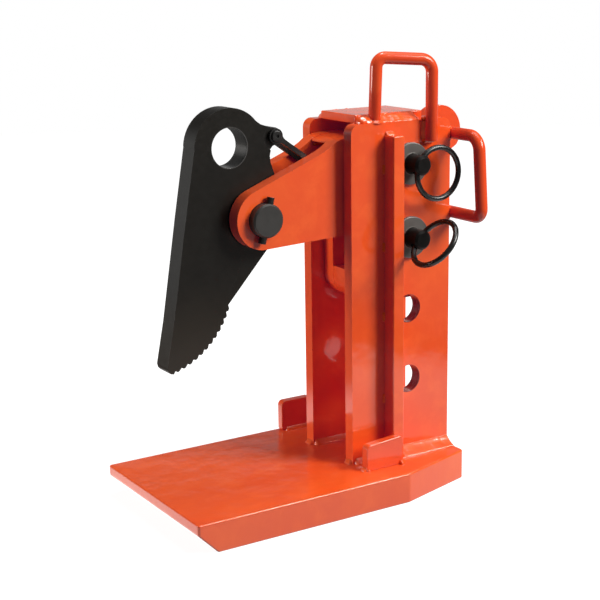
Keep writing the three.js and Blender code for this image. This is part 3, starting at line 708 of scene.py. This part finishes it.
def weld_posts():
    """Side plates to base: wide hollow fillets outside, ending flush at the rear; then the front
    edges and the inside of the channel."""
    for (side, tag), seed in zip(SIDES, (1, 3)):
        y = side * PLATE_OUTER
        run(f"weld_post_base_{tag}_rear", (-52, y, BASE_TOP), (-117.6, y, BASE_TOP), side * Y, Z,
            leg=12.5, leg_b=8.6, seed=seed, bulge=-0.085, ripple=0.03, pitch=6.5, lump=0.5,
            flush_end=True, rough=0.3)
        run(f"weld_post_base_{tag}_front", (-37, y, BASE_TOP), (-2, y, BASE_TOP), side * Y, Z,
            leg=6.0, seed=seed + 1, bulge=0.0, ripple=0.15)
    inner, outer = PLATE_INNER + 1, PLATE_OUTER - 1
    for tag, y0, y1, seed in (("left", inner, outer, 5), ("right", -outer, -inner, 6)):
        run(f"weld_front_edge_{tag}", (0, y0, BASE_TOP), (0, y1, BASE_TOP), X, Z,
            leg=4.0, seed=seed, bulge=0.05)
    for side, tag, seed in ((-1, "right", 7), (1, "left", 8)):
        y = side * PLATE_INNER
        run(f"weld_channel_{tag}", (-1, y, BASE_TOP), (-112, y, BASE_TOP), -side * Y, Z,
            leg=5.0, seed=seed, bulge=0.0)


# heights of the stitches in front of and behind each guard bar; the rear ones lie between the
# pin flanges
GUARD_STITCHES = ((322, 289), (246, 214), (176, 150), (92, 92))
STITCH_HALF = 5


def weld_guards():
    for side, tag in SIDES:
        y = side * PLATE_OUTER
        for i, heights in enumerate(GUARD_STITCHES):
            for place, x, facing, z, seed in (("front", GUARD_FRONT, X, heights[0], 10),
                                              ("rear", GUARD_REAR, -X, heights[1], 15)):
                run(f"weld_guard_{tag}_{place}_{i}", (x, y, z - STITCH_HALF),
                    (x, y, z + STITCH_HALF), facing, side * Y,
                    leg=2.0, seed=seed + i, bulge=0.0, mat="weld_dull")
        run(f"weld_guard_{tag}_top", (-39, y, GUARD_TOP), (-50, y, GUARD_TOP), Z, side * Y,
            leg=3.5, seed=20, bulge=0.0)


# stop plate beads: name, start, end, direction a, direction b, leg, seed, bulge
STOP_WELDS = (
    ("left_front", (0, 59.5, BASE_TOP), (0, 67.0, BASE_TOP), X, Z, 3.6, 21, 0.16),
    ("left_rear", (-43.5, 67.0, BASE_TOP), (-43.5, 59.5, BASE_TOP), -X, Z, 4.6, 22, 0.25),
    ("left_rear_tack", (-43.0, 67.5, BASE_TOP), (-38.5, 67.5, BASE_TOP), Y, Z, 4.0, 26, 0.28),
    ("left_front_tack", (-3.5, 67.5, BASE_TOP), (-0.3, 67.5, BASE_TOP), Y, Z, 2.2, 29, 0.25),
    ("left_guard", (GUARD_FRONT, 58.5, 33), (GUARD_FRONT, 58.5, 55), X, -Y, 3.6, 22, 0.0),
    ("left_inner", (-4, 58.5, BASE_TOP), (-34, 58.5, BASE_TOP), -Y, Z, 4.0, 23, 0.0),
    ("right_base", (0, -85, BASE_TOP), (-32, -85, BASE_TOP), Y, Z, 3.6, 23, 0.0),
)


def weld_stops():
    for tag, start, end, dir_a, dir_b, leg, seed, bulge in STOP_WELDS:
        run(f"weld_stop_{tag}", start, end, dir_a, dir_b, leg=leg, seed=seed, bulge=bulge)


def weld_top_and_tie():
    """Top plate, tie plate and rear lug."""
    # one broad run covers the whole top edge of each side plate
    for side, tag in SIDES:
        y = side * PLATE_INNER
        run(f"weld_top_plate_{tag}", (-14, y, PLATE_TOP), (-84, y, PLATE_TOP), side * Y, Z,
            leg=11.6, leg_b=7.2, seed=24 + side, pitch=6.0, bulge=0.08, lump=1.6)
    for side, tag in SIDES:
        y = side * PLATE_INNER
        for place, z, facing, seed in (("top", TIE_TOP, Z, 27), ("bottom", TIE_BOTTOM, -Z, 30)):
            run(f"weld_tie_{tag}_{place}", (-117, y, z), (-109, y, z), -side * Y, facing,
                leg=5.0, seed=seed + side)
    for side, tag in SIDES:
        y = side * LUG_HALF
        run(f"weld_lug_{tag}", (PLATE_REAR, y, 314), (PLATE_REAR, y, TIE_TOP), side * Y, -X,
            leg=5.0, seed=33 + side)
        run(f"weld_lug_top_{tag}", (-117, y, TIE_TOP), (-109, y, TIE_TOP), side * Y, Z,
            leg=4.5, seed=36 + side)


def weld_handles():
    # rear handle on the rear edge of the left side plate, above and below each end of the bar
    for tag, bar_z in (("upper", REAR_BAR_UPPER), ("lower", REAR_BAR_LOWER)):
        for k, sign in enumerate((1, -1)):
            z = bar_z + sign * 4.6
            run(f"weld_rear_handle_{tag}_{k}", (PLATE_REAR, 31, z), (PLATE_REAR, 41.5, z),
                sign * Z, -X, leg=4.0, seed=40 + k)
    # top handle: a ring around the front foot
    foot = []
    foot_steps = 24
    for i in range(foot_steps):
        a = 2 * math.pi * i / foot_steps
        radial = Vector((math.cos(a), math.sin(a), 0))
        foot.append((Vector((FOOT_X, FOOT_Y, PLATE_TOP)) + radial * BAR_R, radial, Z))
    bead("weld_handle_front_foot", foot, leg=2.4, closed=True, seed=50, pitch=2.2, ripple=0.12,
         bulge=0.0)
    # rear leg: down both sides on the plate's outer face, then across its lower end and the top
    for sign, tag in ((1, "front"), (-1, "rear")):
        x = LEG_X + sign * 3.6
        run(f"weld_handle_rear_leg_{tag}", (x, PLATE_OUTER, LEG_BOTTOM),
            (x, PLATE_OUTER, 366.5), sign * X, Y, leg=4.6, seed=52 + sign, bulge=-0.05)
    z = LEG_BOTTOM + 0.5
    run("weld_handle_rear_leg_end", (-97.0, PLATE_OUTER, z), (-83.6, PLATE_OUTER, z), -Z, Y,
        leg=3.4, leg_b=4.6, seed=54)
    y = PLATE_OUTER - 0.6
    run("weld_handle_rear_leg_top", (-82.5, y, PLATE_TOP), (-98.5, y, PLATE_TOP), Y, Z,
        leg=3.4, seed=55)


def weld_arm():
    """Block between the arm plates."""
    for side, tag in SIDES:
        y = side * 13
        run(f"weld_arm_block_{tag}", (7.5, y, 345.5), (-8, y, 345.5), -side * Y, -Z,
            leg=3.0, seed=56 + side)


weld_posts()
weld_guards()
weld_stops()
weld_top_and_tie()
weld_handles()
weld_arm()


# ------------------------------------------------------------------ studio
def floor_material():
    mat, tree, output = blank_material("floor")
    rays = tree.node("ShaderNodeLightPath").outputs
    position = tree.geometry("Position")
    offset = tree.vmath("SUBTRACT", position, (0.0, 0.15, 0.0))
    radius = tree.vmath("LENGTH", offset, out=1)
    # seen by the camera: white paper with only a faint contact shadow, meeting the backdrop
    # without a line
    paper = tree.node("ShaderNodeEmission", {
        0: (1, 1, 1, 1), 1: tree.ramp(radius, lo=0.28, hi=0.70, start=0.90, end=1.0)})
    diffuse = tree.node("ShaderNodeBsdfDiffuse", {0: (0.30, 0.30, 0.30, 1)})
    seen = tree.node("ShaderNodeAddShader", {0: paper.outputs[0], 1: diffuse.outputs[0]})
    # seen by mirror-like faces: a bright table that falls off a little way out;
    # seen by matt faces: a weak bounce
    near = tree.ramp(radius, lo=0.16, hi=0.32, start=1.20, end=1.6)
    far = tree.ramp(radius, lo=0.36, hi=0.50, start=1.0, end=0.07)
    behind = tree.ramp(tree.separate(position)[0], lo=-0.52, hi=-0.38, start=0.30, end=0.0)
    table = tree.math("ADD", tree.times(near, by=far), behind)
    glow = tree.node("ShaderNodeEmission", {
        0: (1.0, 0.985, 0.97, 1), 1: tree.mix_value(rays["Is Diffuse Ray"], a=table, b=0.12)})
    mixed = tree.node("ShaderNodeMixShader", {
        0: rays["Is Camera Ray"], 1: glow.outputs[0], 2: seen.outputs[0]})
    tree.fill(output, {0: mixed.outputs[0]})
    return mat


def floor(radius=3.2, z=-0.0003, sides=64):
    mat = floor_material()
    mesh = bpy.data.meshes.new("floor")
    bm = bmesh.new()
    angles = [2 * math.pi * i / sides for i in range(sides)]
    bm.faces.new([bm.verts.new((radius * math.cos(a), radius * math.sin(a), z))
                  for a in angles])
    bm.to_mesh(mesh)
    bm.free()
    mesh.materials.append(mat)
    add_object("floor", mesh)


def area(name, location, target, size, power, colour=(1, 1, 1), spread=None):
    """Square area light aimed at target; spread in degrees."""
    light = bpy.data.lights.new(name, "AREA")
    light.shape = "RECTANGLE"
    light.size = light.size_y = size
    light.energy = power
    light.color = colour
    if spread:
        light.spread = math.radians(spread)
    obj = add_object(name, light)
    obj.location = location
    obj.rotation_mode = "QUATERNION"
    obj.rotation_quaternion = (Vector(target) - Vector(location)).to_track_quat("-Z", "Y")
    return obj


def lights():
    area("key", location=(-1.26, 1.49, 1.50), target=(-0.05, 0.04, 0.2), size=1.0, power=70,
         colour=(1.0, 0.99, 0.95))
    area("front_right", location=(1.60, -0.78, 0.42), target=(0, 0, 0.2), size=0.5, power=21,
         colour=(1.0, 0.99, 0.96))
    area("overhead", location=(-0.50, 0.20, 1.75), target=(-0.40, 0.18, 0.2), size=1.1,
         power=3.0, spread=75)
    top = area("top", location=(-0.045, -0.01, 0.66), target=(-0.045, -0.01, 0.3), size=0.06,
               power=0.042, colour=(1.0, 0.99, 0.96), spread=60)
    top.visible_camera = False


def studio_world():
    """White to the camera; dimmer, uneven light to everything else."""
    world = bpy.data.worlds.new("studio")
    bpy.context.scene.world = world
    world.use_nodes = True
    world.node_tree.nodes.clear()
    tree = Tree(world.node_tree)
    rays = tree.node("ShaderNodeLightPath").outputs
    incoming = tree.separate(tree.geometry("Incoming"))
    # Incoming points back along the ray, so the looked-at direction is its opposite
    left = tree.times(incoming[1], by=-1.0)
    up = tree.times(incoming[2], by=-1.0)
    # mirror-like faces see a backdrop that is bright low down on the right and dark higher up
    low = tree.times(tree.ramp(up, lo=0.12, hi=0.30, start=0.40, end=0.24),
                     by=tree.ramp(up, lo=0.325, hi=0.360, start=1.0, end=0.0))
    low = tree.times(low, by=tree.ramp(left, lo=-0.6, hi=-0.2, start=1.0, end=0.0))
    shiny = tree.math("ADD", tree.ramp(left, lo=0.1, hi=0.9, start=0.05, end=0.20),
                      tree.ramp(up, lo=0.35, hi=1.0, end=0.25))
    shiny = tree.math("ADD", shiny, low)
    matt = tree.math("ADD", tree.ramp(left, lo=-0.2, hi=0.9, start=0.04, end=0.12),
                     tree.ramp(up, lo=0.2, hi=1.0, end=0.08))
    sky = tree.mix_value(rays["Is Diffuse Ray"], a=shiny, b=matt)
    strength = tree.mix_value(rays["Is Camera Ray"], a=sky, b=1.0)
    background = tree.node("ShaderNodeBackground", {0: (1, 1, 1, 1), 1: strength})
    tree.node("ShaderNodeOutputWorld", {0: background.outputs[0]})


# the camera's place and its own axes
CAMERA_PLACE = Vector((0.73278, 1.12145, 0.51439))
CAMERA_RIGHT = Vector((-0.84634755, 0.53244045, -0.01424729))
CAMERA_UP = Vector((-0.13688267, -0.19157743, 0.9718854))
CAMERA_BACK = Vector((0.51474164, 0.82450303, 0.23502296))


def camera():
    data = bpy.data.cameras.new("camera")
    obj = add_object("camera", data)
    turn = Matrix((CAMERA_RIGHT, CAMERA_UP, CAMERA_BACK)).transposed().to_4x4()
    obj.matrix_world = Matrix.Translation(CAMERA_PLACE) @ turn
    data.sensor_width = 36.0
    data.lens = 83.2314
    data.clip_start, data.clip_end = 0.05, 50.0
    bpy.context.scene.camera = obj


def render_settings():
    scene = bpy.context.scene
    scene.view_settings.view_transform = "Standard"
    scene.view_settings.look = "None"
    scene.view_settings.exposure = 0.0
    scene.view_settings.gamma = 1.0
    scene.render.film_transparent = False
    scene.cycles.max_bounces = 8
    scene.cycles.diffuse_bounces = 4
    scene.cycles.glossy_bounces = 4


floor()
lights()
studio_world()
camera()
render_settings()

bpy.context.view_layer.update()
